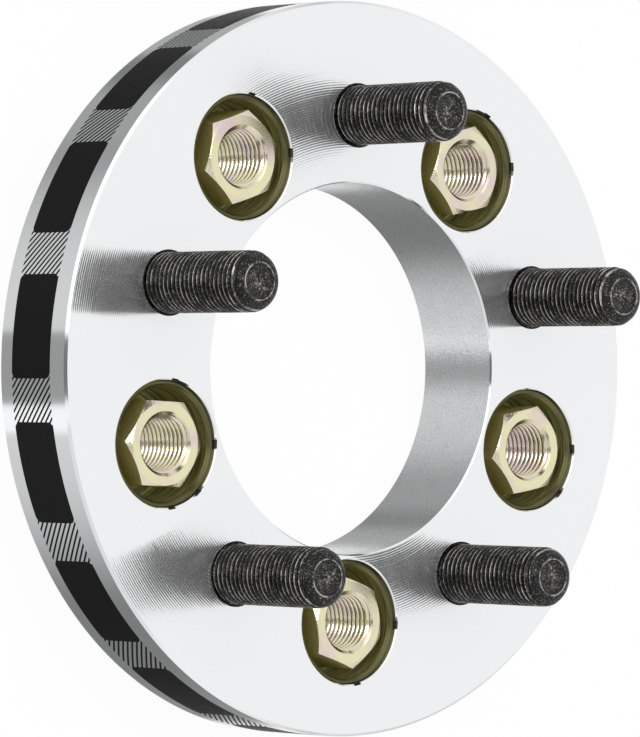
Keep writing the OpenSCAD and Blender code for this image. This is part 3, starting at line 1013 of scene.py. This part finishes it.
def studio_world():
    """White studio as the metal sees it, made of soft-edged panels laid over each other."""
    world = bpy.data.worlds.new("studio")
    world.use_nodes = True
    tree = world.node_tree
    tree.nodes.clear()
    ray = add_node(tree, "ShaderNodeLightPath").outputs
    direction = add_node(tree, "ShaderNodeTexCoord").outputs["Generated"]
    axes = add_node(tree, "ShaderNodeSeparateXYZ", {0: direction}).outputs
    level = TABLE_LEVEL
    for panel, brightness, edges in PANELS:
        mask = 1.0
        for axis, outside, inside in edges:
            edge = add_node(tree, "ShaderNodeMapRange",
                            {"Value": axes[axis], "From Min": outside, "From Max": inside},
                            interpolation_type="SMOOTHSTEP")
            mask = add_node(tree, "ShaderNodeMath", {0: mask, 1: edge}, operation="MULTIPLY")
        level = add_node(tree, "ShaderNodeMix", {0: mask, 2: level, 3: brightness}, data_type="FLOAT",
                         label=panel)
    mirrored = add_node(tree, "ShaderNodeMath", {0: ray["Is Glossy Ray"], 1: ray["Is Transmission Ray"]},
                        operation="MAXIMUM")
    lit = add_node(tree, "ShaderNodeMix", {0: mirrored, 2: FILL_LEVEL, 3: level}, data_type="FLOAT")
    shown = add_node(tree, "ShaderNodeMix", {0: ray["Is Camera Ray"], 2: lit, 3: 1.0}, data_type="FLOAT")
    light = add_node(tree, "ShaderNodeBackground", {"Color": (1.0, 1.0, 1.0, 1.0), "Strength": shown})
    add_node(tree, "ShaderNodeOutputWorld", {"Surface": light})
    return world


def floor_material(glow):
    """Matt white paper, clear from below so that the back can be looked at.

    The camera sees it lifted to white, and the metal looks past it to the studio.
    """
    material, tree = new_material("white_paper", (1.0, 1.0, 1.0, 1.0))
    ray = add_node(tree, "ShaderNodeLightPath").outputs
    paper = add_node(tree, "ShaderNodeBsdfDiffuse", {"Color": (0.9, 0.9, 0.9, 1.0)})
    white = add_node(tree, "ShaderNodeEmission", {"Color": (1.0, 1.0, 1.0, 1.0), "Strength": 1.0})
    lift = add_node(tree, "ShaderNodeMath", {0: ray["Is Camera Ray"], 1: glow}, operation="MULTIPLY")
    seen = add_node(tree, "ShaderNodeMixShader", {0: lift, 1: paper, 2: white})
    mirrored = add_node(tree, "ShaderNodeMath", {0: ray["Is Glossy Ray"], 1: ray["Is Transmission Ray"]},
                        operation="MAXIMUM")
    below = add_node(tree, "ShaderNodeNewGeometry").outputs["Backfacing"]
    passed = add_node(tree, "ShaderNodeMath", {0: mirrored, 1: below}, operation="MAXIMUM")
    clear = add_node(tree, "ShaderNodeBsdfTransparent")
    shader = add_node(tree, "ShaderNodeMixShader", {0: passed, 1: seen, 2: clear})
    add_node(tree, "ShaderNodeOutputMaterial", {"Surface": shader})
    return material


class SPACER_OT_stage(bpy.types.Operator):
    """Set up the white floor, the studio light and the camera"""

    bl_idname = "spacer.stage"
    bl_label = "Studio Stage"

    def execute(self, context):
        scene = context.scene
        sizes = scene.spacer_stage
        scene.view_settings.view_transform = "Standard"
        scene.world = studio_world()
        half = sizes.floor_width / 2
        drop = -sizes.floor_drop
        floor = new_object("floor", mesh_of("floor", (
            [(-half, -half, drop), (half, -half, drop), (half, half, drop), (-half, half, drop)],
            [(0, 1, 2, 3)])))
        floor.data.materials.append(floor_material(sizes.floor_glow))
        lamp = bpy.data.lights.new("overhead_softbox", "AREA")
        lamp.shape = "SQUARE"
        lamp.size = sizes.lamp_width
        lamp.energy = sizes.lamp_power
        softbox = new_object("overhead_softbox", lamp, sizes.lamp_place)
        softbox.rotation_euler = (-softbox.location).to_track_quat("-Z", "Y").to_euler()
        softbox.visible_glossy = False
        lens = bpy.data.cameras.new("camera")
        lens.sensor_width = SENSOR_WIDTH
        lens.lens = sizes.focal_length
        lens.clip_end = VIEW_END
        camera = new_object("camera", lens, sizes.camera_place)
        camera.rotation_euler = sizes.camera_turn
        scene.camera = camera
        return {"FINISHED"}


OPERATORS = (SPACER_OT_stage, SPACER_OT_ring, SPACER_OT_print, SPACER_OT_sleeves, SPACER_OT_nuts,
             SPACER_OT_studs)


class SPACER_PT_panel(bpy.types.Panel):
    """Lists what builds the stage and each group of pieces"""

    bl_idname = "SPACER_PT_panel"
    bl_label = "Wheel Spacer"
    bl_space_type = "VIEW_3D"
    bl_region_type = "UI"
    bl_category = "Spacer"

    def draw(self, context):
        for operator in OPERATORS:
            self.layout.operator(operator.bl_idname)


GROUPS = {
    "spacer_ring": RingSizes, "spacer_print": PrintSizes, "spacer_stud": StudSizes,
    "spacer_sleeve": SleeveSizes, "spacer_nut": NutSizes, "spacer_stage": StageSizes,
}
CLASSES = (*GROUPS.values(), *OPERATORS, SPACER_PT_panel)


def register():
    """Registers the property groups, the operators and the panel."""
    for kind in CLASSES:
        bpy.utils.register_class(kind)
    for name, group in GROUPS.items():
        setattr(bpy.types.Scene, name, PointerProperty(type=group))


def unregister():
    """Takes back what register added."""
    for name in GROUPS:
        delattr(bpy.types.Scene, name)
    for kind in reversed(CLASSES):
        bpy.utils.unregister_class(kind)


def main():
    """Registers the add-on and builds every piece."""
    register()
    bpy.ops.spacer.stage()
    bpy.ops.spacer.ring()
    bpy.ops.spacer.print()
    bpy.ops.spacer.sleeves()
    bpy.ops.spacer.nuts()
    bpy.ops.spacer.studs()


if __name__ == "__main__":
    main()
